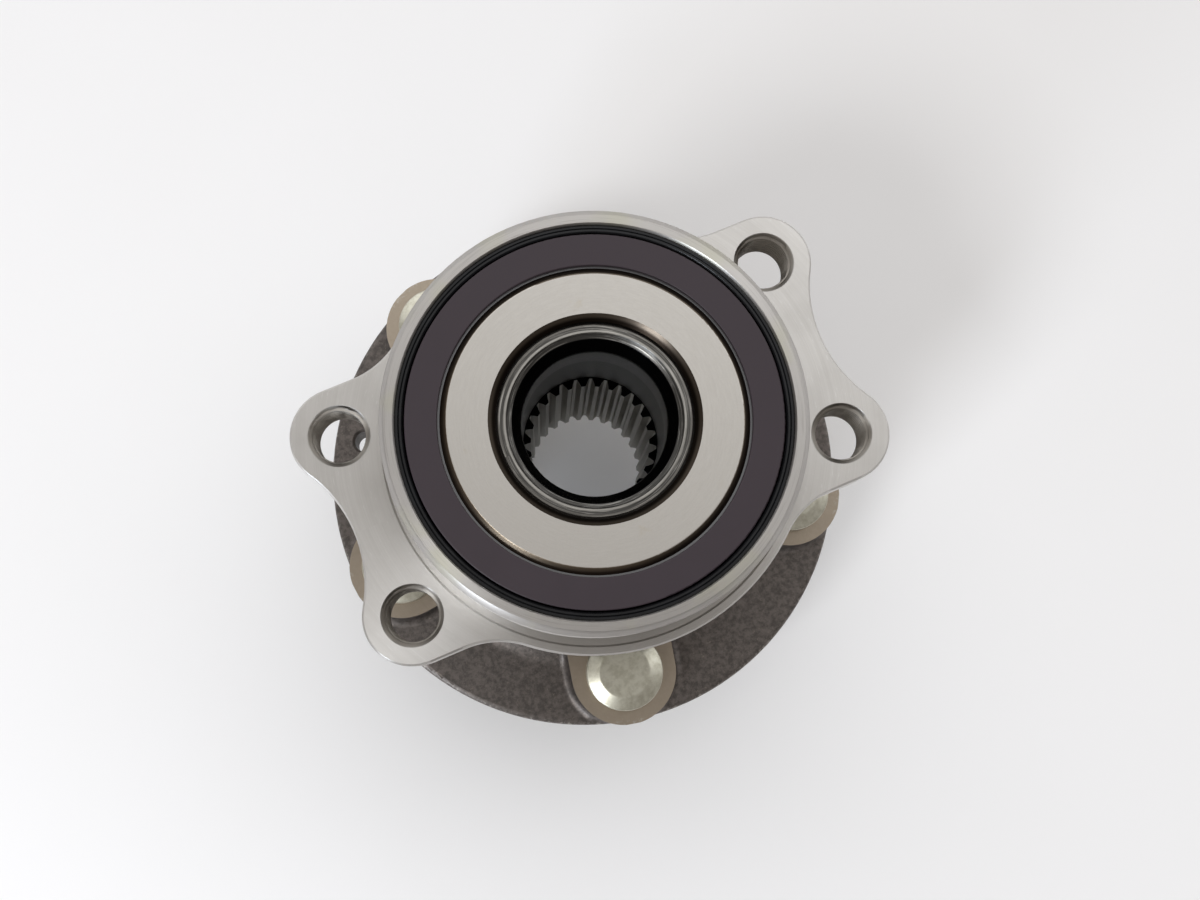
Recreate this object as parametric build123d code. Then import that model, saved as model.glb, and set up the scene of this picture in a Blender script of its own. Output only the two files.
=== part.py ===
from build123d import *
import os
from math import acos, cos, hypot, pi, radians, sin, sqrt, tan

# Driven wheel hub bearing unit, in millimetres.
# The spin axis is Z. Z = 0 is the face that the brake disc and wheel seat on, and +Z runs inboard,
# towards the drive joint, so the unit lies with its pilot nose up and its stud ends down.
# X and Y run along the rectangle of the four tapped knuckle ears.

# ---------------------------------------------------------------- driving dimensions

# outer ring, which bolts to the knuckle
ear_face_height = 65.2          # wheel face to the face that seats on the knuckle
nose_length = 20.2              # pilot nose above the ear face
nose_radius = 42.0
nose_chamfer = 1.1
nose_undercut_width = 1.4
nose_undercut_depth = 0.4
nose_undercut_round = 0.3
outboard_row_depth = 13.0       # outboard ball row to the ring's outboard end
ear_thickness = 10.8
ear_spacing_x = 96.6
ear_spacing_y = 40.0
ear_tip_radius = 10.2
ear_waist_half_width = 52.9     # from the axis to the waist between two ears
ear_edge_chamfer = 0.4
ear_blend_radius = 18.0         # in plan, from an ear into the round body
ear_root_fillet = 4.0           # under an ear
ear_thread_minor_radius = 5.32  # M12 x 1.25
ear_thread_chamfer = 1.15
body_radius = 45.5
body_end_radius = 43.6          # after the forging draft, at the outboard end
body_end_round = 1.0
outer_land_radius = 36.0        # between the two ball rows
outer_shoulder_radius = 38.2    # low side of the outer raceways

# ball rows
ball_radius = 5.953
balls_per_row = 13
ball_pitch_radius = 32.6
inboard_row_depth = 15.5        # below the nose face
row_spacing = 33.0
contact_angle = 38.0
groove_radius = 6.25
ball_clearance = 0.10           # where a ball meets its raceways
cage_inner_radius = 30.95
cage_outer_radius = 35.4
cage_back = 7.2                 # from the row's plane to the cage's closed side
cage_front = 2.4                # from the row's plane to the cage's open side
cage_pocket_clearance = 0.25
cage_corner = 0.5

# inner ring, pressed on the hub's barrel
inner_ring_width = 30.9
inner_ring_set_back = 0.1       # its face below the nose face
inner_ring_radius = 30.3        # high shoulder, which the seals also run on
inner_low_radius = 27.5
inner_ring_outer_chamfer = 1.3
inner_ring_bore_chamfer = 1.5
inner_ring_end_chamfer = 0.5
inner_ring_face_round = 0.4

# hub
barrel_radius = 19.4
barrel_set_back = 2.0           # hub end below the nose face
barrel_end_chamfer = 0.4
barrel_face_inner_radius = 17.5
barrel_step = 0.35
lead_in_radius = 16.3
lead_in_depth = 0.9
lead_in_mouth_round = 0.4
lead_cone_depth = 3.5
lead_cone_round = 2.0           # where the cone runs into the bore
axle_bore_radius = 14.5
spline_top_depth = 31.5         # below the nose face
spline_teeth = 27
spline_module = 1.0
spline_pressure_angle = 30.0
spline_root_radius = 14.25
spline_tip_radius = 12.9
spline_end_chamfer = 2.2
spline_tool_overrun = 0.3       # the tooth spaces are cut from this far inside the tips
nut_seat_height = 6.0
nut_seat_inner_radius = 15.2
nut_recess_radius = 24.5
nut_recess_fillet = 1.5
flange_margin = 11.9            # rim of the flange outside the stud circle
flange_thickness = 9.5
flange_edge_chamfer = 0.8
flange_edge_fillet = 1.2
flange_gap = 2.0                # outer ring's end to the flange's face behind the outboard seal
flange_root_radius = 37.5
flange_root_corner = 1.5
flange_web_radius = 45.5        # where the cone meets the flat of the flange
flange_web_fillet = 6.0
seal_root_fillet = 3.0
rotor_pilot_radius = 29.0
rotor_pilot_length = 5.0
wheel_pilot_radius = 28.05
wheel_pilot_length = 12.0
wheel_pilot_chamfer = 1.2
wheel_pilot_rim_chamfer = 0.8
wheel_face_undercut_width = 1.4
wheel_face_undercut_depth = 0.8
wheel_face_undercut_round = 0.4
boss_height = 5.7               # above the flat of the flange
boss_radius = 12.5
boss_overhang = 0.5             # the bosses are turned this far outside the flange's rim
boss_fillet = 2.2
spot_face_clearance = 0.8       # round a stud head, where its seat is cut into the cone
rotor_screw_offset = 4.6        # outside the stud circle
rotor_screw_minor_radius = 2.5  # M6
rotor_screw_chamfer = 0.6

# wheel studs
stud_count = 5
stud_pitch_radius = 50.0
first_stud_angle = 41.5
stud_shank_radius = 6.35
stud_neck_radius = 5.6          # relief between the knurl and the thread
stud_neck_end = 0.3             # this far inside the wheel face
stud_thread_radius = 6.0        # M12 x 1.25
stud_thread_pitch = 1.25
stud_thread_depth = 0.77
stud_thread_crest = 0.16
stud_thread_half_angle = 30.0
stud_thread_start = 3.0         # past the wheel face
stud_head_radius = 9.1
stud_head_flat_radius = 6.0
stud_head_height = 5.0
stud_head_crown = 1.2
stud_head_crown_round = 1.5
stud_head_rim_round = 0.5
stud_head_edge = 0.3
stud_tip_reach = 31.0           # past the wheel face
stud_tip_chamfer = 1.1
stud_shank_end = 2.0            # the knurl stops this far inside the wheel face
stud_hole_chamfer = 0.5

# seals
seal_bore_radius = 39.0
seal_bore_depth = 8.2
seal_bore_chamfer = 0.3
outboard_seal_bore_radius = 39.2
outboard_seal_bore_depth = 6.0
seal_sheet = 0.7                # steel sheet of the cases and the slinger
sheet_outer_bend = 0.8
sheet_inner_bend = 0.3
inboard_case_top = 1.3          # below the nose face
inboard_case_base = 7.3
inboard_case_inner_radius = 34.2
outboard_case_set_back = 0.4    # inside the ring's outboard end
outboard_case_length = 5.3
outboard_case_inner_radius = 34.8
rubber_lining = 0.95            # rubber on a case's wall
rubber_foot = 0.6               # rubber on a case's radial leg
rubber_foot_round = 0.4
rubber_top = 0.65               # the inboard rubber's rim, below the nose face
rubber_rim_chamfer = 0.3
rubber_line_width = 0.3         # fine groove round the inboard rubber's rim
rubber_line_depth = 0.2
lip_thickness = 0.5
lip_gap = 0.15                  # free lips stand this far off what they run on
lip_lean = 1.2                  # how far a radial lip leans along the axis
slinger_lip_radius = 36.0       # axial lip under the slinger
flange_lip_radii = (34.4, 36.2) # axial lips against the flange
magnet_top = 0.47               # below the nose face
magnet_thickness = 1.03
magnet_inner_radius = 30.7
magnet_outer_radius = 37.03
magnet_edge_round = 0.25
slinger_radius = 36.8
slinger_length = 4.9

cutter_overrun = 1.0            # how far a cutting shape runs past the metal

# ---------------------------------------------------------------- worked out

nose_height = ear_face_height + nose_length
ear_base_height = ear_face_height - ear_thickness
ear_hole_x, ear_hole_y = ear_spacing_x / 2, ear_spacing_y / 2
inboard_row_height = nose_height - inboard_row_depth
outboard_row_height = inboard_row_height - row_spacing
outer_ring_base = outboard_row_height - outboard_row_depth
flange_root_height = outer_ring_base - flange_gap
ear_reach = hypot(ear_hole_x, ear_hole_y) + ear_tip_radius
flange_radius = stud_pitch_radius + flange_margin
boss_turned_radius = flange_radius + boss_overhang
inner_ring_top = nose_height - inner_ring_set_back
inner_ring_base = inner_ring_top - inner_ring_width
barrel_top = nose_height - barrel_set_back
spline_top = nose_height - spline_top_depth
stud_thread_flank = stud_thread_depth * tan(radians(stud_thread_half_angle))
stud_thread_turns = int(
    (stud_tip_reach - stud_tip_chamfer - stud_thread_start) / stud_thread_pitch
)
boss_top = flange_thickness + boss_height
pocket_radius = ball_radius + cage_pocket_clearance
inboard_case_radius = seal_bore_radius - seal_sheet
inboard_case_floor = nose_height - inboard_case_base + seal_sheet
outboard_case_radius = outboard_seal_bore_radius - seal_sheet
outboard_case_base = outer_ring_base + outboard_case_set_back
outboard_case_ceiling = outboard_case_base + outboard_case_length - seal_sheet
slinger_top = nose_height - magnet_top - magnet_thickness
slinger_sleeve_radius = inner_ring_radius + seal_sheet


# ---------------------------------------------------------------- helpers

def section(corners):
    """Face in the (radius, height) plane, from (radius, height, corner round) points."""
    points = [corner[:2] for corner in corners]
    rounds = [corner[2] if len(corner) > 2 else 0 for corner in corners]
    return make_face(FilletPolyline(*points, radius=rounds, close=True))


def turned(corners, groove_centres=()):
    """Ring turned about Z, with ball grooves of groove_radius cut at the given points."""
    face = section(corners)
    for centre in groove_centres:
        face -= Pos(*centre) * Circle(groove_radius)
    return revolve(Plane.XZ * face, Axis.Z)


def groove_centre(row_height, outward, inboard):
    """Centre of a raceway's arc: the ball then has ball_clearance at its point of contact."""
    offset = groove_radius - ball_radius - ball_clearance
    side = 1 if outward else -1
    lean = 1 if inboard else -1
    angle = radians(contact_angle)
    return (ball_pitch_radius - side * offset * cos(angle), row_height - lean * offset * sin(angle))


def around(angle, distance=0.0):
    """Place at a distance from the axis, turned to an angle about it."""
    return Rot(0, 0, angle) * Pos(distance, 0, 0)


on_base = (Align.CENTER, Align.CENTER, Align.MIN)


def drill(radius, low, high, low_chamfer, high_chamfer):
    """Tool for a through hole along Z, with a chamfer at either mouth."""
    return turned([
        (0, low), (radius + low_chamfer, low), (radius, low + low_chamfer),
        (radius, high - high_chamfer), (radius + high_chamfer, high), (0, high),
    ])


# ---------------------------------------------------------------- outer ring

def ear_outline():
    """Plan of the knuckle flange: round body, four ears, and a waist between each pair."""
    waist_gap = ear_waist_half_width - ear_hole_x
    waist_radius = (
        (waist_gap ** 2 + ear_hole_y ** 2 - ear_tip_radius ** 2) / (2 * (ear_tip_radius - waist_gap))
    )
    waist_centre = ear_waist_half_width + waist_radius
    reach = ear_tip_radius / hypot(waist_centre - ear_hole_x, ear_hole_y)
    touch_x = ear_hole_x + reach * (waist_centre - ear_hole_x)
    touch_y = ear_hole_y - reach * ear_hole_y
    plan = Circle(body_radius) + Rectangle(ear_spacing_x, ear_spacing_y + 2 * ear_tip_radius)
    plan += Rectangle(2 * touch_x, 2 * touch_y)
    for x in (-ear_hole_x, ear_hole_x):
        for y in (-ear_hole_y, ear_hole_y):
            plan += Pos(x, y) * Circle(ear_tip_radius)
    for side in (-1, 1):
        plan -= Pos(side * waist_centre, 0) * Circle(waist_radius)
    edge_line = ear_hole_y + ear_tip_radius
    meets_body = sqrt(body_radius ** 2 - edge_line ** 2)
    corners = [
        v for v in plan.vertices()
        if abs(abs(v.X) - meets_body) < 0.01 and abs(abs(v.Y) - edge_line) < 0.01
    ]
    return fillet(corners, ear_blend_radius)


def outer_ring():
    undercut_radius = nose_radius - nose_undercut_depth
    undercut_end = nose_radius + nose_undercut_width
    ring = turned(
        [
            (seal_bore_radius, nose_height - seal_bore_chamfer),
            (seal_bore_radius + seal_bore_chamfer, nose_height),
            (nose_radius - nose_chamfer, nose_height),
            (nose_radius, nose_height - nose_chamfer),
            (nose_radius, ear_face_height + nose_undercut_width),
            (undercut_radius, ear_face_height + nose_undercut_width - nose_undercut_depth),
            (undercut_radius, ear_face_height - nose_undercut_depth, nose_undercut_round),
            (undercut_end, ear_face_height - nose_undercut_depth),
            (undercut_end + nose_undercut_depth, ear_face_height),
            (ear_reach + cutter_overrun, ear_face_height),
            (ear_reach + cutter_overrun, ear_base_height),
            (body_radius, ear_base_height, ear_root_fillet),
            (body_end_radius, outer_ring_base, body_end_round),
            (outboard_seal_bore_radius + seal_bore_chamfer, outer_ring_base),
            (outboard_seal_bore_radius, outer_ring_base + seal_bore_chamfer),
            (outboard_seal_bore_radius, outer_ring_base + outboard_seal_bore_depth),
            (outer_shoulder_radius, outer_ring_base + outboard_seal_bore_depth),
            (outer_shoulder_radius, outboard_row_height),
            (outer_land_radius, outboard_row_height),
            (outer_land_radius, inboard_row_height),
            (outer_shoulder_radius, inboard_row_height),
            (outer_shoulder_radius, nose_height - seal_bore_depth),
            (seal_bore_radius, nose_height - seal_bore_depth),
        ],
        [
            groove_centre(inboard_row_height, outward=True, inboard=False),
            groove_centre(outboard_row_height, outward=True, inboard=True),
        ],
    )
    cut_base = ear_base_height - 2 * ear_root_fillet
    cut_height = ear_face_height - cut_base
    kept = extrude(ear_outline(), cut_height)
    kept = chamfer(kept.faces().sort_by(Axis.Z)[-1].edges(), ear_edge_chamfer)
    around_ears = extrude(Circle(ear_reach + 2 * cutter_overrun), cut_height) - kept
    ring -= Pos(0, 0, cut_base) * around_ears
    tap = drill(ear_thread_minor_radius, ear_base_height, ear_face_height,
                ear_thread_chamfer / 2, ear_thread_chamfer)
    for x in (-ear_hole_x, ear_hole_x):
        for y in (-ear_hole_y, ear_hole_y):
            ring -= Pos(x, y, 0) * tap
    return ring


# ---------------------------------------------------------------- ball rows

def balls(row_height):
    place = Pos(ball_pitch_radius, 0, row_height)
    return [Rot(0, 0, 360 / balls_per_row * i) * place * Sphere(ball_radius) for i in range(balls_per_row)]


def cage(row_height, inboard):
    """Snap cage: a ring on the row's outer side, with fingers that reach between the balls."""
    lean = 1 if inboard else -1
    low, high = sorted((row_height - lean * cage_front, row_height + lean * cage_back))
    ring = turned([
        (cage_inner_radius, low, cage_corner), (cage_outer_radius, low, cage_corner),
        (cage_outer_radius, high, cage_corner), (cage_inner_radius, high, cage_corner),
    ])
    pocket = Cylinder(pocket_radius, 2 * (cage_outer_radius - cage_inner_radius))
    pocket = Pos(ball_pitch_radius, 0, row_height) * Rot(0, 90, 0) * pocket
    for i in range(balls_per_row):
        ring -= Rot(0, 0, 360 / balls_per_row * i) * pocket
    return ring


# ---------------------------------------------------------------- inner ring and hub

def inner_ring():
    return turned(
        [
            (barrel_radius + inner_ring_bore_chamfer, inner_ring_top),
            (inner_ring_radius - inner_ring_outer_chamfer, inner_ring_top, inner_ring_face_round),
            (inner_ring_radius, inner_ring_top - inner_ring_outer_chamfer, inner_ring_face_round),
            (inner_ring_radius, inboard_row_height),
            (inner_low_radius, inboard_row_height),
            (inner_low_radius, inner_ring_base + inner_ring_end_chamfer),
            (inner_low_radius - inner_ring_end_chamfer, inner_ring_base),
            (barrel_radius + inner_ring_end_chamfer, inner_ring_base),
            (barrel_radius, inner_ring_base + inner_ring_end_chamfer),
            (barrel_radius, inner_ring_top - inner_ring_bore_chamfer, inner_ring_face_round),
        ],
        [groove_centre(inboard_row_height, outward=False, inboard=True)],
    )


def spline_spaces():
    """The spaces between the hub's internal teeth, with involute flanks."""
    pitch_radius = spline_module * spline_teeth / 2
    base_radius = pitch_radius * cos(radians(spline_pressure_angle))

    def involute(radius):
        lean = acos(base_radius / radius)
        return tan(lean) - lean

    def half_space(radius):
        return pi / (2 * spline_teeth) + involute(pitch_radius) - involute(radius)

    def point(radius, side):
        angle = side * half_space(radius)
        return (radius * cos(angle), radius * sin(angle))

    inside = spline_tip_radius - spline_tool_overrun
    middle = (inside + spline_root_radius) / 2
    root_a, root_b = point(spline_root_radius, -1), point(spline_root_radius, 1)
    flank_a = ThreePointArc(point(inside, -1), point(middle, -1), root_a)
    root = ThreePointArc(root_a, (spline_root_radius, 0), root_b)
    flank_b = ThreePointArc(root_b, point(middle, 1), point(inside, 1))
    space = make_face(flank_a + root + flank_b + Line(point(inside, 1), point(inside, -1)))
    step = 360 / spline_teeth
    height = spline_top - nut_seat_height
    return [Rot(0, 0, step * i) * Pos(0, 0, nut_seat_height) * extrude(space, height)
            for i in range(spline_teeth)]


def stud_boss():
    """Pad under one stud head, carried inwards until the flange's cone takes it in."""
    reach = stud_pitch_radius - flange_root_radius
    plan = Pos(stud_pitch_radius, 0) * Circle(boss_radius)
    plan += Pos(stud_pitch_radius - reach / 2, 0) * Rectangle(reach, 2 * boss_radius)
    pad = Pos(0, 0, flange_thickness / 2) * extrude(plan, boss_top - flange_thickness / 2)
    return pad & Cylinder(boss_turned_radius, 2 * boss_top)


def wheel_hub():
    hub = turned(
        [
            (axle_bore_radius, barrel_top - lead_in_depth - lead_cone_depth, lead_cone_round),
            (lead_in_radius, barrel_top - lead_in_depth, lead_in_mouth_round),
            (barrel_face_inner_radius - barrel_step, barrel_top - barrel_step),
            (barrel_face_inner_radius, barrel_top),
            (barrel_radius - barrel_end_chamfer, barrel_top),
            (barrel_radius, barrel_top - barrel_end_chamfer),
            (barrel_radius, inner_ring_base),
            (inner_low_radius - inner_ring_end_chamfer, inner_ring_base),
            (inner_low_radius, inner_ring_base - inner_ring_end_chamfer),
            (inner_low_radius, outboard_row_height),
            (inner_ring_radius, outboard_row_height),
            (inner_ring_radius, flange_root_height, seal_root_fillet),
            (flange_root_radius, flange_root_height, flange_root_corner),
            (flange_web_radius, flange_thickness, flange_web_fillet),
            (flange_radius, flange_thickness, flange_edge_fillet),
            (flange_radius, flange_edge_chamfer),
            (flange_radius - flange_edge_chamfer, 0),
            (rotor_pilot_radius + wheel_face_undercut_width, 0),
            (rotor_pilot_radius + wheel_face_undercut_width, wheel_face_undercut_depth),
            (rotor_pilot_radius, wheel_face_undercut_depth, wheel_face_undercut_round),
            (rotor_pilot_radius, -rotor_pilot_length),
            (wheel_pilot_radius, -rotor_pilot_length - (rotor_pilot_radius - wheel_pilot_radius)),
            (wheel_pilot_radius, wheel_pilot_chamfer - wheel_pilot_length),
            (wheel_pilot_radius - wheel_pilot_chamfer, -wheel_pilot_length),
            (nut_recess_radius + wheel_pilot_rim_chamfer, -wheel_pilot_length),
            (nut_recess_radius, wheel_pilot_rim_chamfer - wheel_pilot_length),
            (nut_recess_radius, nut_seat_height, nut_recess_fillet),
            (nut_seat_inner_radius, nut_seat_height),
            (spline_tip_radius, nut_seat_height + nut_seat_inner_radius - spline_tip_radius),
            (spline_tip_radius, spline_top - spline_end_chamfer),
            (axle_bore_radius, spline_top),
        ],
        [groove_centre(outboard_row_height, outward=False, inboard=False)],
    )
    stud_angles = [first_stud_angle + 360 / stud_count * i for i in range(stud_count)]
    for angle in stud_angles:
        hub += Rot(0, 0, angle) * stud_boss()
    on_flat = [edge for edge in hub.edges() if abs(edge.center().Z - flange_thickness) < 0.001]
    foot = [
        edge for edge in on_flat
        if edge.geom_type == GeomType.LINE
        or edge.geom_type == GeomType.CIRCLE and abs(edge.radius - boss_radius) < 0.001
    ]
    hub = fillet(foot, boss_fillet)
    for space in spline_spaces():
        hub -= space
    hole = drill(stud_shank_radius, 0, boss_top, stud_hole_chamfer, stud_hole_chamfer)
    spot_face = Cylinder(stud_head_radius + spot_face_clearance, stud_head_height, align=on_base)
    for angle in stud_angles:
        hub -= around(angle, stud_pitch_radius) * hole
        hub -= around(angle, stud_pitch_radius) * Pos(0, 0, boss_top) * spot_face
    screw = drill(rotor_screw_minor_radius, 0, flange_thickness, rotor_screw_chamfer, rotor_screw_chamfer)
    hub -= around(stud_angles[1] + 180 / stud_count, stud_pitch_radius + rotor_screw_offset) * screw
    return hub


def wheel_stud():
    """Press-in stud standing on its own axis; the knurl is plain, the thread has no lead."""
    head_top = boss_top + stud_head_height
    thread_root = stud_thread_radius - stud_thread_depth
    grooves = []
    for turn in range(stud_thread_turns):
        high = -stud_thread_start - stud_thread_pitch * turn
        low = high - stud_thread_pitch + stud_thread_crest
        grooves += [
            (stud_thread_radius, high), (thread_root, high - stud_thread_flank),
            (thread_root, low + stud_thread_flank), (stud_thread_radius, low),
        ]
    face = section([
        (0, head_top), (stud_head_flat_radius, head_top, stud_head_crown_round),
        (stud_head_radius, head_top - stud_head_crown, stud_head_rim_round),
        (stud_head_radius, boss_top + stud_head_edge), (stud_head_radius - stud_head_edge, boss_top),
        (stud_shank_radius, boss_top), (stud_shank_radius, stud_shank_end),
        (stud_neck_radius, stud_shank_end - stud_shank_radius + stud_neck_radius),
        (stud_neck_radius, stud_neck_end), (stud_thread_radius, 0), *grooves,
        (stud_thread_radius, stud_tip_chamfer - stud_tip_reach),
        (stud_thread_radius - stud_tip_chamfer, -stud_tip_reach), (0, -stud_tip_reach),
    ])
    return revolve(Plane.XZ * face, Axis.Z)


# ---------------------------------------------------------------- seals

def lip(root, tip):
    """Section of a free lip from its root to its tip, where it is half as thick."""
    root, tip = Vector(*root), Vector(*tip)
    across = (tip - root).normalized().rotate(Axis.Z, 90) * (lip_thickness / 2)
    corners = (root - across, tip - across / 2, tip + across / 2, root + across)
    return make_face(Polyline(*corners, close=True))


def inboard_seal_case():
    top, base = nose_height - inboard_case_top, nose_height - inboard_case_base
    return turned([
        (inboard_case_radius, top), (seal_bore_radius, top), (seal_bore_radius, base, sheet_outer_bend),
        (inboard_case_inner_radius, base), (inboard_case_inner_radius, inboard_case_floor),
        (inboard_case_radius, inboard_case_floor, sheet_inner_bend),
    ])


def inboard_seal_rubber():
    """Rubber moulded round the case: a grooved rim, a lining, a lip up and a lip inwards."""
    top, case_top = nose_height - rubber_top, nose_height - inboard_case_top
    lining = inboard_case_radius - rubber_lining
    inner = inboard_case_inner_radius - rubber_foot
    foot = inboard_case_floor + rubber_foot
    line_radius = (lining + seal_bore_radius) / 2
    face = section([
        (seal_bore_radius, case_top), (seal_bore_radius, top - rubber_rim_chamfer),
        (seal_bore_radius - rubber_rim_chamfer, top), (line_radius + rubber_line_width / 2, top),
        (line_radius, top - rubber_line_depth), (line_radius - rubber_line_width / 2, top),
        (lining + rubber_rim_chamfer, top), (lining, top - rubber_rim_chamfer),
        (lining, foot, rubber_foot_round), (inner, foot), (inner, inboard_case_floor - seal_sheet),
        (inboard_case_inner_radius, inboard_case_floor - seal_sheet),
        (inboard_case_inner_radius, inboard_case_floor),
        (inboard_case_radius, inboard_case_floor, sheet_inner_bend), (inboard_case_radius, case_top),
    ])
    face += lip((inboard_case_inner_radius, foot - lip_thickness / 2),
                (slinger_lip_radius, slinger_top - seal_sheet - lip_gap))
    face += lip((inner + lip_thickness / 2, inboard_case_floor),
                (slinger_sleeve_radius + lip_gap + lip_thickness / 4, inboard_case_floor + lip_lean))
    return revolve(Plane.XZ * face, Axis.Z)


def encoder_slinger():
    return turned([
        (inner_ring_radius, slinger_top), (slinger_radius, slinger_top),
        (slinger_radius, slinger_top - seal_sheet),
        (slinger_sleeve_radius, slinger_top - seal_sheet, sheet_inner_bend),
        (slinger_sleeve_radius, slinger_top - slinger_length),
        (inner_ring_radius, slinger_top - slinger_length),
    ])


def encoder_magnet():
    top = nose_height - magnet_top
    return turned([
        (magnet_inner_radius, slinger_top), (magnet_outer_radius, slinger_top),
        (magnet_outer_radius, top, magnet_edge_round), (magnet_inner_radius, top, magnet_edge_round),
    ])


def outboard_seal_case():
    top = outboard_case_ceiling + seal_sheet
    return turned([
        (outboard_case_radius, outboard_case_base), (outboard_seal_bore_radius, outboard_case_base),
        (outboard_seal_bore_radius, top, sheet_outer_bend), (outboard_case_inner_radius, top),
        (outboard_case_inner_radius, outboard_case_ceiling),
        (outboard_case_radius, outboard_case_ceiling, sheet_inner_bend),
    ])


def outboard_seal_rubber():
    """Rubber moulded under the case, with one lip on the hub's shoulder and two on its flange."""
    lining = outboard_case_radius - rubber_lining
    inner = outboard_case_inner_radius - rubber_foot
    foot = outboard_case_ceiling - rubber_foot
    face = section([
        (outboard_case_radius, outboard_case_base),
        (outboard_case_radius, outboard_case_ceiling, sheet_inner_bend),
        (outboard_case_inner_radius, outboard_case_ceiling),
        (outboard_case_inner_radius, outboard_case_ceiling + seal_sheet),
        (inner, outboard_case_ceiling + seal_sheet), (inner, foot),
        (lining, foot, rubber_foot_round), (lining, outboard_case_base),
    ])
    for radius in flange_lip_radii:
        face += lip((radius, foot + lip_thickness / 2), (radius, flange_root_height + lip_gap))
    face += lip((inner + lip_thickness / 2, outboard_case_ceiling),
                (inner_ring_radius + lip_gap + lip_thickness / 4, outboard_case_ceiling - lip_lean))
    return revolve(Plane.XZ * face, Axis.Z)


# ---------------------------------------------------------------- write

os.makedirs("parts", exist_ok=True)


def write(shape, name):
    export_step(shape, f"parts/{name}.step")


write(outer_ring(), "outer_ring")
write(wheel_hub(), "wheel_hub")
write(inner_ring(), "inner_ring")
for row, row_height in (("inboard", inboard_row_height), ("outboard", outboard_row_height)):
    for number, ball in enumerate(balls(row_height), 1):
        write(ball, f"{row}_ball_{number:02d}")
    write(cage(row_height, row == "inboard"), f"{row}_cage")
write(inboard_seal_case(), "inboard_seal_case")
write(inboard_seal_rubber(), "inboard_seal_rubber")
write(encoder_slinger(), "encoder_slinger")
write(encoder_magnet(), "encoder_magnet")
write(outboard_seal_case(), "outboard_seal_case")
write(outboard_seal_rubber(), "outboard_seal_rubber")
for number in range(stud_count):
    place = around(first_stud_angle + 360 / stud_count * number, stud_pitch_radius)
    write(place * wheel_stud(), f"wheel_stud_{number + 1}")
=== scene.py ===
import bpy
from math import ceil, cos, pi, radians, sin
from mathutils import Euler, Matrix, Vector


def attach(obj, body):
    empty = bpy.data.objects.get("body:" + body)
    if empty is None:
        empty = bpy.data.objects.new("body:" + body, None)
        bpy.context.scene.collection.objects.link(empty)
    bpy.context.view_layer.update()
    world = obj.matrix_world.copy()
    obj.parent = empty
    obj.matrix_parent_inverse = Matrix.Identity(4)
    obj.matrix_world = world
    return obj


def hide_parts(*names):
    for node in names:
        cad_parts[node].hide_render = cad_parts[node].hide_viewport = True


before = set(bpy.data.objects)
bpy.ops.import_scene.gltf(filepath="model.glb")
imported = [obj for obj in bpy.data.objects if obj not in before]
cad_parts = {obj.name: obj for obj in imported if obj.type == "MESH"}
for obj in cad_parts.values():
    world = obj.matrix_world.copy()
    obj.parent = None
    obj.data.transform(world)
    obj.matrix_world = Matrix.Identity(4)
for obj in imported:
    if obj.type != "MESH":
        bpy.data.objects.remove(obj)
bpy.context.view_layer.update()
mm = 0.001
colourMix = {"factor": 0, "under": 6, "over": 7, "result": 2}   # socket numbers of a Mix node
print("frame loaded:", len(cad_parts), "nodes")


def shade(red, green, blue):  # a colour as it looks on a screen, 0 to 255, for a shader
    def straight(level):  # the standard screen curve, undone
        level /= 255
        return level / 12.92 if level <= 0.04045 else ((level + 0.055) / 1.055) ** 2.4
    return (straight(red), straight(green), straight(blue), 1.0)


class Wire:  # an output socket that can be used in plain sums
    def __init__(self, graph, socket):
        self.graph = graph
        self.socket = socket

    def out(self, name):  # another output of the same node
        return Wire(self.graph, self.socket.node.outputs[name])

    def __add__(self, other):
        return self.graph.sum("ADD", self, other)

    def __radd__(self, other):
        return self.graph.sum("ADD", other, self)

    def __sub__(self, other):
        return self.graph.sum("SUBTRACT", self, other)

    def __rsub__(self, other):
        return self.graph.sum("SUBTRACT", other, self)

    def __mul__(self, other):
        return self.graph.sum("MULTIPLY", self, other)

    def __rmul__(self, other):
        return self.graph.sum("MULTIPLY", other, self)

    def __pow__(self, other):
        return self.graph.sum("POWER", self, other)


class Graph:  # a node tree that nodes and sums are added to
    def __init__(self, tree):
        self.tree = tree

    def node(self, kind, settings=None, sockets=None, **named):
        made = self.tree.nodes.new(kind)
        for name, value in (settings or {}).items():
            setattr(made, name, value)
        for name, value in {**(sockets or {}), **named}.items():
            if isinstance(value, Wire):
                self.tree.links.new(value.socket, made.inputs[name])
            else:
                made.inputs[name].default_value = value
        shown = [socket for socket in made.outputs if socket.enabled]
        return Wire(self, shown[0])

    def sum(self, operation, first, second):
        kinds = [term.socket.type for term in (first, second) if isinstance(term, Wire)]
        if "VECTOR" not in kinds:
            return self.node("ShaderNodeMath", {"operation": operation}, {0: first, 1: second})
        first, second = (
            (term,) * 3 if isinstance(term, (int, float)) else term for term in (first, second)
        )
        return self.node("ShaderNodeVectorMath", {"operation": operation}, {0: first, 1: second})

    def mix(self, mask, under, over):  # colours
        made = self.node("ShaderNodeMix", {"data_type": "RGBA"}, {
            colourMix["factor"]: mask, colourMix["under"]: under, colourMix["over"]: over})
        return Wire(self, made.socket.node.outputs[colourMix["result"]])

    def rise(self, value, low, high):  # 0 below low, 1 above high
        return self.node("ShaderNodeMapRange", {"interpolation_type": "SMOOTHSTEP"}, {
            "Value": value, "From Min": low, "From Max": high, "To Min": 0.0, "To Max": 1.0})

    def fall(self, value, low, high):
        return 1 - self.rise(value, low, high)

    def between(self, value, low, high, soft):
        return self.rise(value, low - soft, low + soft) * self.fall(value, high - soft, high + soft)

    def either(self, first, second):  # joins two masks
        return 1 - (1 - first) * (1 - second)


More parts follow.
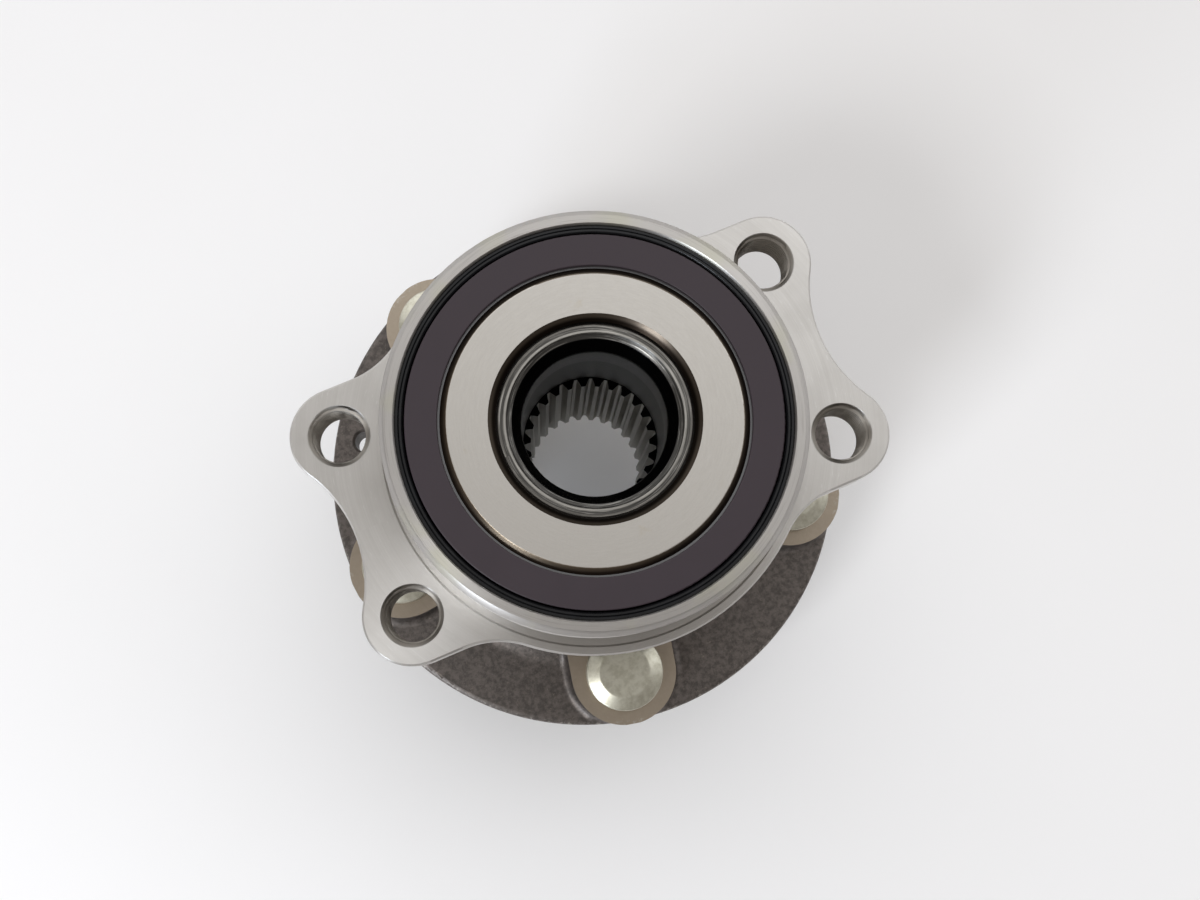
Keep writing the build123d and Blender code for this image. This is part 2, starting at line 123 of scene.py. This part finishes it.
class Finish(Graph):  # one material, with the place on the part in millimetres
    def __init__(self, name, look):
        self.material = bpy.data.materials.new(name)
        self.material.use_nodes = True
        super().__init__(self.material.node_tree)
        self.shader = self.tree.nodes["Principled BSDF"]
        for socket, value in look.items():
            self.shader.inputs[socket].default_value = value
        self.place = self.node("ShaderNodeTexCoord").out("Object") * (1 / mm)
        split = self.node("ShaderNodeSeparateXYZ", {}, Vector=self.place)
        self.x, self.y, self.z = split.out("X"), split.out("Y"), split.out("Z")
        self.radius = (self.x * self.x + self.y * self.y) ** 0.5
        self.angle = self.node("ShaderNodeMath", {"operation": "ARCTAN2"}, {0: self.y, 1: self.x})
        facing = self.node("ShaderNodeTexCoord").out("Normal")
        self.upward = self.node("ShaderNodeSeparateXYZ", {}, Vector=facing).out("Z")

    def noise(self, size, detail=4, roughness=0.55, at=None):  # size of one blotch in millimetres
        return self.node("ShaderNodeTexNoise", {}, Vector=at or self.place, Scale=1 / size,
                         Detail=detail, Roughness=roughness).out("Fac")

    def patches(self, size, low, high, detail=4, roughness=0.55):  # blotches with soft edges
        return self.rise(self.noise(size, detail, roughness), low, high)

    def around(self, turns):  # a place that runs out, up and round the part's axis
        return self.node("ShaderNodeCombineXYZ", {}, X=self.radius, Y=self.z, Z=self.angle * turns)

    def arcs(self, size, stretch, detail=3, roughness=0.6):  # short scratches round the axis
        return self.noise(size, detail, roughness, self.around(stretch))

    def rings(self, pitch, detail=3, wander=0.0):  # marks of turning, nearly closed circles
        return self.arcs(pitch, wander, detail)

    def cells(self, size):
        dots = self.node("ShaderNodeTexVoronoi", {}, Vector=self.place, Scale=1 / size)
        return dots.out("Distance")

    def along(self, side):  # how far out toward one side of the part
        return side[0] * self.x + side[1] * self.y

    def nearHoles(self, places, inner, outer):  # 1 close to any of the axes along Z
        found = None
        for x, y in places:
            dx, dy = self.x - x, self.y - y
            near = self.fall((dx * dx + dy * dy) ** 0.5, inner, outer)
            found = near if found is None else self.either(found, near)
        return found

    def bump(self, height, strength, depth):  # depth in millimetres
        return self.node("ShaderNodeBump", {}, Height=height, Strength=strength,
                         Distance=depth * mm)

    def use(self, **wires):  # onto the shader, Base_Color for Base Color
        for name, wire in wires.items():
            self.tree.links.new(wire.socket, self.shader.inputs[name.replace("_", " ")])
        return self.material


def addPiece(name, corners, faces, finish, sharp=32):
    mesh = bpy.data.meshes.new(name)
    mesh.from_pydata(corners, [], faces)
    mesh.shade_smooth()
    mesh.set_sharp_from_angle(angle=radians(sharp))
    mesh.materials.append(finish)
    piece = bpy.data.objects.new(name, mesh)
    bpy.context.scene.collection.objects.link(piece)
    return piece


def stackedRings(rings, around, centre):  # (height, radius at an angle) each, closed at both ends
    corners = [(centre[0], centre[1], rings[0][0])]
    for height, radiusAt in rings:
        for i in range(around):
            angle = 2 * pi * i / around
            corners.append((centre[0] + radiusAt(angle) * cos(angle),
                            centre[1] + radiusAt(angle) * sin(angle), height))
    corners.append((centre[0], centre[1], rings[-1][0]))
    faces = [(0, 1 + i, 1 + (i + 1) % around) for i in range(around)]
    for row in range(len(rings) - 1):
        start = 1 + row * around
        for i in range(around):
            j = (i + 1) % around
            faces.append((start + i, start + around + i, start + around + j, start + j))
    last = 1 + (len(rings) - 1) * around
    faces += [(len(corners) - 1, last + (i + 1) % around, last + i) for i in range(around)]
    return corners, faces


def useMaterial(node, material):
    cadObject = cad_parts[node]
    cadObject.data.materials.clear()
    cadObject.data.materials.append(material)


# outer ring: turned bright on the nose and the ears, forged below them, with tapped ear holes

outerRing = {
    "earFace": 65.2, "earBase": 54.4, "baseSoft": 0.3,
    "noseTop": 85.4, "rimFrom": 2.0, "rimFull": 1.5, "upwardRange": (0.90, 0.98),
    "holes": [(x, y) for x in (-48.3, 48.3) for y in (-20.0, 20.0)], "wallRadii": (6.15, 6.5),
    "threadPitch": 1.25, "threadDeep": 6.0, "threadProud": 5.20,
    "threadFlat": 0.15, "threadFlank": 0.6,
    "tapRowsPerTurn": 10, "tapAround": 48, "tapOver": 1.0,
    "look": {"Metallic": 1.0, "IOR": 2.5, "Anisotropic": 0.75, "Anisotropic Rotation": 0.25},
    "silver": shade(224, 221, 217), "shadow": shade(190, 186, 181),
    "pale": shade(240, 239, 237), "rim": shade(188, 184, 180), "green": shade(190, 188, 166),
    "forged": shade(124, 117, 109), "threadWall": shade(150, 143, 134),
    # the rim's turning-line grey, also used as the colour of painted shade
    "rimLineAndShade": shade(118, 112, 106),
    "fine": {"pitch": 0.18, "detail": 2}, "broad": {"pitch": 1.3, "detail": 3, "wander": 0.3},
    "marksShare": 0.45,
    "scratch": {"size": 0.35, "stretch": 9.0}, "scratchRange": (0.60, 0.78), "scratchShare": 0.35,
    "cloud": {"size": 9.0, "detail": 3}, "cloudRange": (0.45, 0.7), "cloudShare": 0.20,
    "turning": {"pitch": 0.12, "detail": 2, "wander": 0.5}, "turningRange": (0.54, 0.70),
    "turningShare": 0.35,
    "tinge": {"size": 14.0, "detail": 2, "low": 0.50, "high": 0.66}, "tingeShare": 0.45,
    # painted shade: the side of the ring away from the bright sky is darkened
    "shadeSide": (0.38, 0.92), "shadeRange": (-40, -20), "shadeShare": 0.30,
    "rimShare": 0.85, "wallShare": 0.8, "forgedShare": 0.55,
    "rough": {"base": 0.26, "cloud": 0.10, "fine": 0.10, "walls": 0.18, "body": 0.16},
    "grain": {"size": 0.5}, "broadHeight": 0.8, "grainHeight": 0.3,
    "bump": {"strength": 0.25, "depth": 0.06},
}


def turnedSteel():
    ring, rough = outerRing, outerRing["rough"]
    finish = Finish("turned_steel", ring["look"])
    fine, broad = finish.rings(**ring["fine"]), finish.rings(**ring["broad"])
    scratches = finish.rise(finish.arcs(**ring["scratch"]), *ring["scratchRange"])
    cloud = finish.noise(**ring["cloud"])
    faceUp = finish.rise(finish.upward, *ring["upwardRange"])
    body = finish.fall(finish.z, ring["earBase"] - ring["baseSoft"],
                       ring["earBase"] + ring["baseSoft"])
    rim = finish.rise(finish.z, ring["noseTop"] - ring["rimFrom"],
                      ring["noseTop"] - ring["rimFull"])
    colour = finish.mix(ring["marksShare"] * fine + ring["marksShare"] * broad,
                        ring["silver"], ring["shadow"])
    colour = finish.mix(finish.rise(cloud, *ring["cloudRange"]) * ring["cloudShare"],
                        colour, ring["shadow"])
    colour = finish.mix(scratches * faceUp * ring["scratchShare"], colour, ring["pale"])
    colour = finish.mix(rim * ring["rimShare"], colour, ring["rim"])
    # painted shade, darker toward the side away from the bright sky
    paintedShade = finish.fall(finish.along(ring["shadeSide"]), *ring["shadeRange"])
    colour = finish.mix(paintedShade * ring["shadeShare"], colour, ring["rimLineAndShade"])
    turning = finish.rise(finish.rings(**ring["turning"]), *ring["turningRange"])
    colour = finish.mix(rim * turning * ring["turningShare"], colour, ring["rimLineAndShade"])
    tinge = rim * finish.patches(**ring["tinge"])
    colour = finish.mix(tinge * ring["tingeShare"], colour, ring["green"])
    walls = finish.nearHoles(ring["holes"], *ring["wallRadii"]) * (1 - faceUp)
    colour = finish.mix(walls * ring["wallShare"], colour, ring["threadWall"])
    colour = finish.mix(body * ring["forgedShare"], colour, ring["forged"])
    roughness = (rough["base"] + rough["cloud"] * cloud + rough["fine"] * fine
                 + rough["walls"] * walls + rough["body"] * body)
    height = (fine + ring["broadHeight"] * broad
              + ring["grainHeight"] * finish.noise(**ring["grain"]))
    normal = finish.bump(height, **ring["bump"])
    return finish.use(Base_Color=colour, Roughness=roughness, Normal=normal)


def threadRadius(height, angle):
    ring = outerRing
    turn = (height / ring["threadPitch"] - angle / (2 * pi)) % 1.0
    rise = 1 - min(abs(turn - 0.5) * 2, 1.0)             # 1 in the middle of the groove
    share = min(max((rise - ring["threadFlat"]) / ring["threadFlank"], 0.0), 1.0)
    return ring["threadProud"] + (ring["threadDeep"] - ring["threadProud"]) * share


def cutEarThreads(ringPiece, finish):
    ring = outerRing
    low, high = ring["earBase"] - ring["tapOver"], ring["earFace"] + ring["tapOver"]
    rows = ceil((high - low) / ring["threadPitch"] * ring["tapRowsPerTurn"])
    taps = []
    for x, y in ring["holes"]:
        rings = []
        for row in range(rows + 1):
            height = high - (high - low) * row / rows
            rings.append((height * mm,
                          lambda angle, height=height: mm * threadRadius(height, angle)))
        corners, faces = stackedRings(rings, ring["tapAround"], (x * mm, y * mm))
        taps.append(addPiece("tap", corners, faces, finish))
        cut = ringPiece.modifiers.new("thread", "BOOLEAN")
        cut.operation = "DIFFERENCE"
        cut.solver = "EXACT"
        cut.object = taps[-1]
    bpy.context.view_layer.update()
    cutRing = ringPiece.evaluated_get(bpy.context.evaluated_depsgraph_get())
    cutMesh = bpy.data.meshes.new_from_object(cutRing)
    ringPiece.modifiers.clear()
    ringPiece.data = cutMesh
    for tap in taps:
        bpy.data.objects.remove(tap)


steelFinish = turnedSteel()
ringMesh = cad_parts["outer_ring"].data.copy()
ringMesh.name = "outer_ring_threaded"
ringMesh.materials.clear()
ringMesh.materials.append(steelFinish)
ringPiece = bpy.data.objects.new("outer_ring_threaded", ringMesh)
bpy.context.scene.collection.objects.link(ringPiece)
cutEarThreads(ringPiece, steelFinish)
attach(ringPiece, "knuckle_side")
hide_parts("outer_ring")
print("outer ring done:", len(ringPiece.data.polygons), "faces")


# hub: dark forging with turned pilots, a turned barrel end with painted highlight and shade bands,
# and an oily cone into the bore painted near-black as its dark reflection

hub = {
    "barrelRoot": 70.0, "endRise": 1,
    "bore": 14.5, "boreEdge": (0.05, 0.25), "leadMouth": 16.3, "coneEdge": (0.12, 0.1, 0.04),
    "coneHeights": (60, 62),
    "splineTop": 53.9, "splineSoft": 0.3, "splineBevel": 2.2, "bevelSoft": 0.1,
    "bevelRange": (0.3, 0.5),
    "bossTop": 15.2, "bossDeep": 0.12, "bossSoft": 0.03, "upwardRange": (0.9, 0.98),
    "nutSeat": 6.0, "seatEdge": (0.5, 1), "downwardRange": (-0.6, -0.3),
    "wheelFace": (-0.2, 0.2),
    "flangeRadius": 61.9, "flangeEdge": (0.9, 0.1), "cornerRange": (0.10, 0.45),
    "look": {"IOR": 1.6, "Anisotropic": 0.4, "Anisotropic Rotation": 0.25},
    # painted highlight and painted shade: bright bands where the end's chamfers catch the light,
    # dark bands at the step
    "endHighlightAndShadeBands": [  # inner radius, outer radius, colour
        (19.05, 19.6, shade(168, 164, 158)), (18.0, 18.6, shade(82, 80, 77)),
        (17.5, 17.9, shade(164, 161, 155)), (16.0, 17.38, shade(78, 76, 73)),
    ],
    "bandSoft": 0.08,
    "scale": shade(106, 98, 93), "scaleDark": shade(78, 72, 68), "scalePale": shade(150, 144, 138),
    "bossFace": shade(186, 172, 154), "worn": shade(196, 190, 180), "end": shade(112, 109, 104),
    "turned": shade(214, 210, 203), "turnedDark": shade(120, 116, 110),
    # near-black of oil, also painted as the dark reflection on the cone and the tooth bevels
    "oilAndShade": shade(12, 11, 11), "boreWall": shade(62, 62, 60), "spline": shade(190, 188, 180),
    "crust": {"size": 1.3, "low": 0.35, "high": 0.65, "detail": 5, "roughness": 0.70},
    "speckle": {"size": 0.45, "detail": 6, "roughness": 0.7}, "speckleRange": (0.56, 0.74),
    "speckleShare": 0.30,
    "fleck": {"size": 1.0, "low": 0.60, "high": 0.70, "detail": 5, "roughness": 0.75},
    "fleckShare": 0.25, "pitSize": 1.1, "bossShare": 0.75,
    "wear": {"size": 0.9, "low": 0.52, "high": 0.62, "detail": 5, "roughness": 0.75},
    "wearShare": 0.6,
    "marks": {"pitch": 0.35, "detail": 3}, "lines": {"pitch": 0.16, "detail": 2, "wander": 0.4},
    "paleLines": (0.54, 0.70), "darkLines": (0.32, 0.44), "lineShare": 0.45,
    "streakTurns": 14, "streakRise": 0.05, "streakShare": 0.5,
    "streaks": {"size": 0.8, "detail": 3, "roughness": 0.6},
    "metal": {"base": 0.62, "turned": 0.34, "cone": 0.12},
    "rough": {"base": 0.38, "turned": 0.09, "cone": 0.14, "speckle": 0.10},
    "heights": {"speckle": 0.7, "pits": 0.5, "marks": 0.6},
    "bump": {"strength": 0.30, "depth": 0.08},
}


def hubFinish():
    finish = Finish("forged_steel", hub["look"])

    # masks, 1 on the surface that each is named after
    inside = finish.fall(finish.radius, *(hub["bore"] + edge for edge in hub["boreEdge"]))
    end = finish.rise(finish.z, hub["barrelRoot"], hub["barrelRoot"] + hub["endRise"])
    coneIn, coneOut, coneSoft = hub["coneEdge"]
    cone = (finish.between(finish.radius, hub["bore"] + coneIn, hub["leadMouth"] + coneOut,
                           coneSoft)
            * finish.rise(finish.z, *hub["coneHeights"]))
    wheelSide = (finish.fall(finish.upward, *hub["downwardRange"])
                 * finish.fall(finish.z, *(hub["nutSeat"] + edge for edge in hub["seatEdge"])))
    pilots = finish.either(finish.fall(finish.z, *hub["wheelFace"]), wheelSide)
    machined = finish.either(pilots, end)
    boss = finish.between(finish.z, hub["bossTop"] - hub["bossDeep"],
                          hub["bossTop"] + hub["bossDeep"], hub["bossSoft"])
    boss = boss * finish.rise(finish.upward, *hub["upwardRange"])
    teeth = inside * finish.fall(finish.z, hub["splineTop"], hub["splineTop"] + hub["splineSoft"])
    wall = inside * finish.rise(finish.z, hub["splineTop"], hub["splineTop"] + hub["splineSoft"])
    bevelLow = hub["splineTop"] - hub["splineBevel"]
    bevel = (teeth * finish.rise(finish.z, bevelLow - hub["bevelSoft"], bevelLow)
             * finish.rise(finish.upward, *hub["bevelRange"]))

    # forged skin, the boss faces and the worn corner of the flange
    speckle = finish.noise(**hub["speckle"])
    colour = finish.mix(finish.patches(**hub["crust"]), hub["scaleDark"], hub["scale"])
    colour = finish.mix(finish.rise(speckle, *hub["speckleRange"]) * hub["speckleShare"],
                        colour, hub["scalePale"])
    colour = finish.mix(finish.patches(**hub["fleck"]) * hub["fleckShare"],
                        colour, hub["bossFace"])
    colour = finish.mix(boss * hub["bossShare"], colour, hub["bossFace"])
    edge = finish.rise(finish.radius, *(hub["flangeRadius"] - inset for inset in hub["flangeEdge"]))
    corner = edge * finish.rise(finish.upward, *hub["cornerRange"])
    worn = corner * finish.patches(**hub["wear"])
    colour = finish.mix(worn * hub["wearShare"], colour, hub["worn"])

    # turned faces, the painted highlight and shade bands and the lines on the end of the barrel
    marks = finish.rings(**hub["marks"])
    colour = finish.mix(machined, colour, finish.mix(marks, hub["turned"], hub["turnedDark"]))
    colour = finish.mix(end, colour, hub["end"])
    # painted highlights and painted shade, band by band
    for inner, outer, band in hub["endHighlightAndShadeBands"]:
        paintedBand = end * finish.between(finish.radius, inner, outer, hub["bandSoft"])
        colour = finish.mix(paintedBand, colour, band)
    lines = finish.rings(**hub["lines"])
    colour = finish.mix(end * finish.rise(lines, *hub["paleLines"]) * hub["lineShare"],
                        colour, hub["turned"])
    colour = finish.mix(end * finish.fall(lines, *hub["darkLines"]) * hub["lineShare"],
                        colour, hub["oilAndShade"])

    # bore, with streaks along the spline teeth
    downTeeth = finish.node("ShaderNodeCombineXYZ", {}, X=finish.angle * hub["streakTurns"],
                            Y=finish.z * hub["streakRise"])
    streaks = finish.noise(**hub["streaks"], at=downTeeth) * hub["streakShare"]
    colour = finish.mix(teeth, colour, finish.mix(streaks, hub["spline"], hub["turnedDark"]))
    colour = finish.mix(wall, colour, hub["boreWall"])
    # painted shade: the tooth bevels and the cone are painted near-black, oil and the dark
    # reflection of the bore
    colour = finish.mix(finish.either(bevel, cone), colour, hub["oilAndShade"])

    metal, rough, heights = hub["metal"], hub["rough"], hub["heights"]
    bright = finish.either(machined, boss)
    metallic = (metal["base"] + metal["turned"] * finish.either(bright, bevel)
                - metal["cone"] * cone)
    roughness = (rough["base"] - rough["turned"] * bright - rough["cone"] * cone
                 + rough["speckle"] * speckle)
    height = (heights["speckle"] * speckle + heights["pits"] * finish.cells(hub["pitSize"])
              + heights["marks"] * marks)
    normal = finish.bump(height, **hub["bump"])
    return finish.use(Base_Color=colour, Metallic=metallic, Roughness=roughness, Normal=normal)


useMaterial("wheel_hub", hubFinish())
print("hub done")


# wheel studs: zinc plated, a little yellow

stud = {
    "names": [f"wheel_stud_{number}" for number in range(1, 6)],
    "look": {"Metallic": 1.0, "IOR": 2.2},
    "zinc": shade(208, 205, 190), "dark": shade(184, 180, 163), "bloom": shade(220, 218, 210),
    "fleck": shade(140, 134, 118),
    "cloud": {"size": 1.6, "detail": 5, "roughness": 0.65}, "cloudRange": (0.35, 0.70),
    "grain": {"size": 0.30, "detail": 4, "roughness": 0.65}, "grainRange": (0.64, 0.80),
    "bloomPatches": {"size": 1.1, "low": 0.60, "high": 0.75}, "bloomShare": 0.4,
    "fleckShare": 0.35, "rough": {"base": 0.27, "cloud": 0.14},
    "bump": {"strength": 0.20, "depth": 0.04},
}


def zincFinish():
    finish = Finish("zinc_plated_steel", stud["look"])
    cloud, grain = finish.noise(**stud["cloud"]), finish.noise(**stud["grain"])
    colour = finish.mix(finish.rise(cloud, *stud["cloudRange"]), stud["zinc"], stud["dark"])
    colour = finish.mix(finish.patches(**stud["bloomPatches"]) * stud["bloomShare"],
                        colour, stud["bloom"])
    colour = finish.mix(finish.rise(grain, *stud["grainRange"]) * stud["fleckShare"],
                        colour, stud["fleck"])
    roughness = stud["rough"]["base"] + stud["rough"]["cloud"] * cloud
    normal = finish.bump(grain, **stud["bump"])
    return finish.use(Base_Color=colour, Roughness=roughness, Normal=normal)


zinc = zincFinish()
for name in stud["names"]:
    useMaterial(name, zinc)
print("studs done")


# inner ring: ground end face, brown oil on the chamfers, painted shade in the bore chamfer, and a
# painted sheen on the outer chamfer's side toward the window lamp

innerRing = {
    "middle": 25.0, "middleSoft": 1, "boreEdge": 20.2, "edgeSoft": 0.3,
    # the side toward the window lamp, where the outer chamfer gets a painted sheen
    "faceRange": (0.93, 0.985), "sheenSide": (-0.93, -0.37),
    "look": {"Metallic": 1.0, "IOR": 2.5},
    "ground": shade(208, 204, 198), "groundDark": shade(184, 179, 172),
    # near-black of oil, also painted shade in the inner half of the bore chamfer
    "oilAndShade": shade(34, 28, 23), "oilEdge": shade(94, 84, 74), "oilSheen": shade(118, 105, 90),
    "grey": shade(98, 89, 79), "stain": shade(182, 168, 140),
    "swirl": {"size": 0.30, "stretch": 3.0}, "swirlShare": 0.6,
    "grain": {"size": 0.28, "detail": 3, "roughness": 0.6}, "grainShare": 0.4,
    "stains": {"size": 6.5, "low": 0.63, "high": 0.74, "detail": 5, "roughness": 0.65},
    "stainShare": 0.25,
    "runs": {"size": 2.0, "stretch": 6.0}, "runsShare": 0.5, "filmRange": (0.45, 0.95),
    "rough": {"base": 0.31, "swirl": 0.10, "chamfer": 0.06},
    "grainHeight": 0.5, "bump": {"strength": 0.14, "depth": 0.04},
}


def groundFinish():
    ring, rough = innerRing, innerRing["rough"]
    finish = Finish("ground_steel", ring["look"])
    swirl, grain = finish.arcs(**ring["swirl"]), finish.noise(**ring["grain"])
    face = finish.rise(finish.upward, *ring["faceRange"])
    colour = finish.mix(ring["swirlShare"] * swirl + ring["grainShare"] * grain,
                        ring["ground"], ring["groundDark"])
    colour = finish.mix(finish.patches(**ring["stains"]) * ring["stainShare"],
                        colour, ring["stain"])
    # painted sheen: the outer chamfer is tan toward the window lamp, partly oil, partly painted
    # highlight, broken up by runs
    side = finish.along(ring["sheenSide"]) * finish.radius ** -1
    runs = ring["runsShare"] * finish.arcs(**ring["runs"])
    film = finish.mix(finish.rise(side + runs, *ring["filmRange"]), ring["grey"], ring["oilSheen"])
    # painted shade: the inner half of the bore chamfer is near-black, oil and the shade of the gap
    # to the hub
    boreChamferOilAndShade = finish.mix(finish.rise(finish.radius, ring["boreEdge"] - ring["edgeSoft"],
                                   ring["boreEdge"] + ring["edgeSoft"]),
                       ring["oilAndShade"], ring["oilEdge"])
    outer = finish.rise(finish.radius, ring["middle"] - ring["middleSoft"],
                        ring["middle"] + ring["middleSoft"])
    colour = finish.mix(1 - face, colour, finish.mix(outer, boreChamferOilAndShade, film))
    roughness = rough["base"] + rough["swirl"] * swirl - rough["chamfer"] * (1 - face)
    normal = finish.bump(swirl + ring["grainHeight"] * grain, **ring["bump"])
    return finish.use(Base_Color=colour, Roughness=roughness, Normal=normal)


useMaterial("inner_ring", groundFinish())


# magnet ring: smooth magnet-filled rubber for the speed sensor

magnet = {
    "look": {"IOR": 1.45}, "colour": shade(54, 43, 49), "dark": shade(46, 37, 42),
    "cloud": {"size": 7.0, "detail": 4}, "cloudShare": 0.6,
    "grain": {"size": 0.25, "detail": 3}, "grainShare": 0.4,
    "rough": {"base": 0.42, "cloud": 0.15}, "bump": {"strength": 0.10, "depth": 0.02},
}


def magnetFinish():
    finish = Finish("magnet_rubber", magnet["look"])
    cloud, grain = finish.noise(**magnet["cloud"]), finish.noise(**magnet["grain"])
    colour = finish.mix(magnet["cloudShare"] * cloud + magnet["grainShare"] * grain,
                        magnet["dark"], magnet["colour"])
    roughness = magnet["rough"]["base"] + magnet["rough"]["cloud"] * cloud
    normal = finish.bump(grain, **magnet["bump"])
    return finish.use(Base_Color=colour, Roughness=roughness, Normal=normal)


useMaterial("encoder_magnet", magnetFinish())


# seals: black moulded rubber on pressed sheet

seal = {
    "rubberLook": {"IOR": 1.4}, "rubber": shade(13, 13, 15), "rubberGrey": shade(24, 25, 28),
    "grain": {"size": 0.4, "detail": 3}, "cloud": {"size": 5.0, "detail": 3},
    "cloudRange": (0.4, 0.7), "cloudShare": 0.4, "rubberRough": {"base": 0.20, "cloud": 0.15},
    "bump": {"strength": 0.10, "depth": 0.03},
    "sheetLook": {"Metallic": 1.0}, "sheet": shade(150, 150, 150),
    "sheetDark": shade(104, 104, 106), "marks": {"pitch": 0.3},
    "sheetRough": {"base": 0.3, "marks": 0.2},
}


def rubberFinish():
    finish = Finish("seal_rubber", seal["rubberLook"])
    grain, cloud = finish.noise(**seal["grain"]), finish.noise(**seal["cloud"])
    colour = finish.mix(finish.rise(cloud, *seal["cloudRange"]) * seal["cloudShare"],
                        seal["rubber"], seal["rubberGrey"])
    roughness = seal["rubberRough"]["base"] + seal["rubberRough"]["cloud"] * cloud
    normal = finish.bump(grain, **seal["bump"])
    return finish.use(Base_Color=colour, Roughness=roughness, Normal=normal)


def sheetFinish():
    finish = Finish("seal_steel", seal["sheetLook"])
    marks = finish.rings(**seal["marks"])
    colour = finish.mix(marks, seal["sheet"], seal["sheetDark"])
    roughness = seal["sheetRough"]["base"] + seal["sheetRough"]["marks"] * marks
    return finish.use(Base_Color=colour, Roughness=roughness)


rubber, sheet = rubberFinish(), sheetFinish()
for side in ("inboard", "outboard"):
    useMaterial(f"{side}_seal_rubber", rubber)
    useMaterial(f"{side}_seal_case", sheet)
useMaterial("encoder_slinger", sheet)


# ball rows: polished balls in pale moulded cages

row = {
    "balls": 13, "ballLook": {"Metallic": 1.0},
    "ball": shade(214, 213, 209), "ballDark": shade(194, 192, 186),
    "film": {"size": 2.5, "detail": 3}, "ballRough": {"base": 0.06, "film": 0.08},
    "cageLook": {"IOR": 1.52}, "cage": shade(196, 186, 150), "cageDark": shade(168, 156, 118),
    "fibre": {"size": 0.6, "detail": 4, "roughness": 0.7},
    "cageRough": {"base": 0.5, "fibre": 0.2}, "bump": {"strength": 0.15, "depth": 0.03},
}


def ballFinish():
    finish = Finish("ball_steel", row["ballLook"])
    film = finish.noise(**row["film"])
    colour = finish.mix(film, row["ball"], row["ballDark"])
    roughness = row["ballRough"]["base"] + row["ballRough"]["film"] * film
    return finish.use(Base_Color=colour, Roughness=roughness)


def cageFinish():
    finish = Finish("cage_polymer", row["cageLook"])
    fibre = finish.noise(**row["fibre"])
    colour = finish.mix(fibre, row["cage"], row["cageDark"])
    roughness = row["cageRough"]["base"] + row["cageRough"]["fibre"] * fibre
    normal = finish.bump(fibre, **row["bump"])
    return finish.use(Base_Color=colour, Roughness=roughness, Normal=normal)


ballSteel, cagePolymer = ballFinish(), cageFinish()
for side in ("inboard", "outboard"):
    useMaterial(f"{side}_cage", cagePolymer)
    for number in range(1, row["balls"] + 1):
        useMaterial(f"{side}_ball_{number:02d}", ballSteel)
print("rings, seals, balls and cages done")


# table, light and camera

studio = {
    "tableHeight": -31.0, "tableSize": 3.0, "tableLook": {"IOR": 1.45},
    "tableWhite": shade(246, 244, 244), "tableWarm": shade(242, 240, 239),
    "tableBlotch": {"size": 120.0, "detail": 3}, "tableGrain": {"size": 8.0},
    "tableRough": {"base": 0.45, "grain": 0.1},
    "skySide": (0.56, 0.83), "skyBand": (-0.08, 0.55), "skyHeights": (0.05, 0.60),
    "skyBright": (0.98, 0.99, 1.0, 1.0), "skyDim": (0.26, 0.25, 0.24, 1.0),
    "skyLevel": 1.50, "horizon": 0.40,
    "lamps": {
        "ceiling": {"place": (-0.80, -0.30, 1.00), "size": 0.32, "power": 5.0,
                    "colour": (0.95, 0.975, 1.0)},
        "window": {"place": (-1.00, -0.56, 0.42), "size": 0.30, "power": 4.8,
                   "colour": (0.80, 0.89, 1.0)},
    },
    "cameraPlace": (-27.09, -38.50, 351.35), "cameraLens": 41.853, "cameraSensor": 36.0,
    "cameraTurn": -22.85, "cameraTilt": 8.5, "cameraRoll": -2.298, "cameraNear": 0.01,
}


def tableFinish():
    finish = Finish("table", studio["tableLook"])
    colour = finish.mix(finish.noise(**studio["tableBlotch"]),
                        studio["tableWhite"], studio["tableWarm"])
    grain = finish.noise(**studio["tableGrain"])
    roughness = studio["tableRough"]["base"] + studio["tableRough"]["grain"] * grain
    return finish.use(Base_Color=colour, Roughness=roughness)


half = studio["tableSize"] / 2
floorHeight = studio["tableHeight"] * mm
table = addPiece("table", [(-half, -half, floorHeight), (half, -half, floorHeight),
                           (half, half, floorHeight), (-half, half, floorHeight)],
                 [(0, 1, 2, 3)], tableFinish())

world = bpy.data.worlds.new("sky")
bpy.context.scene.world = world
world.use_nodes = True
sky = Graph(world.node_tree)
toward = sky.node("ShaderNodeSeparateXYZ", {},
                  Vector=sky.node("ShaderNodeTexCoord").out("Generated"))
sideways = studio["skySide"][0] * toward.out("X") + studio["skySide"][1] * toward.out("Y")
skyColour = sky.mix(sky.rise(sideways, *studio["skyBand"]), studio["skyDim"], studio["skyBright"])
skyLift = sky.rise(toward.out("Z"), *studio["skyHeights"])
skyLevel = studio["skyLevel"] * (studio["horizon"] + (1 - studio["horizon"]) * skyLift)
background = world.node_tree.nodes["Background"]
world.node_tree.links.new(skyColour.socket, background.inputs["Color"])
world.node_tree.links.new(skyLevel.socket, background.inputs["Strength"])

for name, lamp in studio["lamps"].items():
    light = bpy.data.objects.new(name, bpy.data.lights.new(name, "AREA"))
    light.data.size = lamp["size"]
    light.data.energy = lamp["power"]
    light.data.color = lamp["colour"]
    light.location = lamp["place"]
    light.rotation_euler = (-Vector(lamp["place"])).to_track_quat("-Z", "Y").to_euler()
    bpy.context.scene.collection.objects.link(light)

camera = bpy.data.objects.new("camera", bpy.data.cameras.new("camera"))
camera.data.sensor_width = studio["cameraSensor"]
camera.data.lens = studio["cameraLens"]
camera.data.clip_start = studio["cameraNear"]
camera.location = Vector(studio["cameraPlace"]) * mm
turn = Euler((0, 0, radians(studio["cameraTurn"]))).to_matrix()
tilt = Euler((radians(studio["cameraTilt"]), 0, 0)).to_matrix()
roll = Euler((0, radians(studio["cameraRoll"]), 0)).to_matrix()
camera.rotation_euler = (turn @ tilt @ roll).to_euler()
bpy.context.scene.collection.objects.link(camera)
bpy.context.scene.camera = camera
bpy.context.scene.view_settings.view_transform = "Standard"
print("studio done")
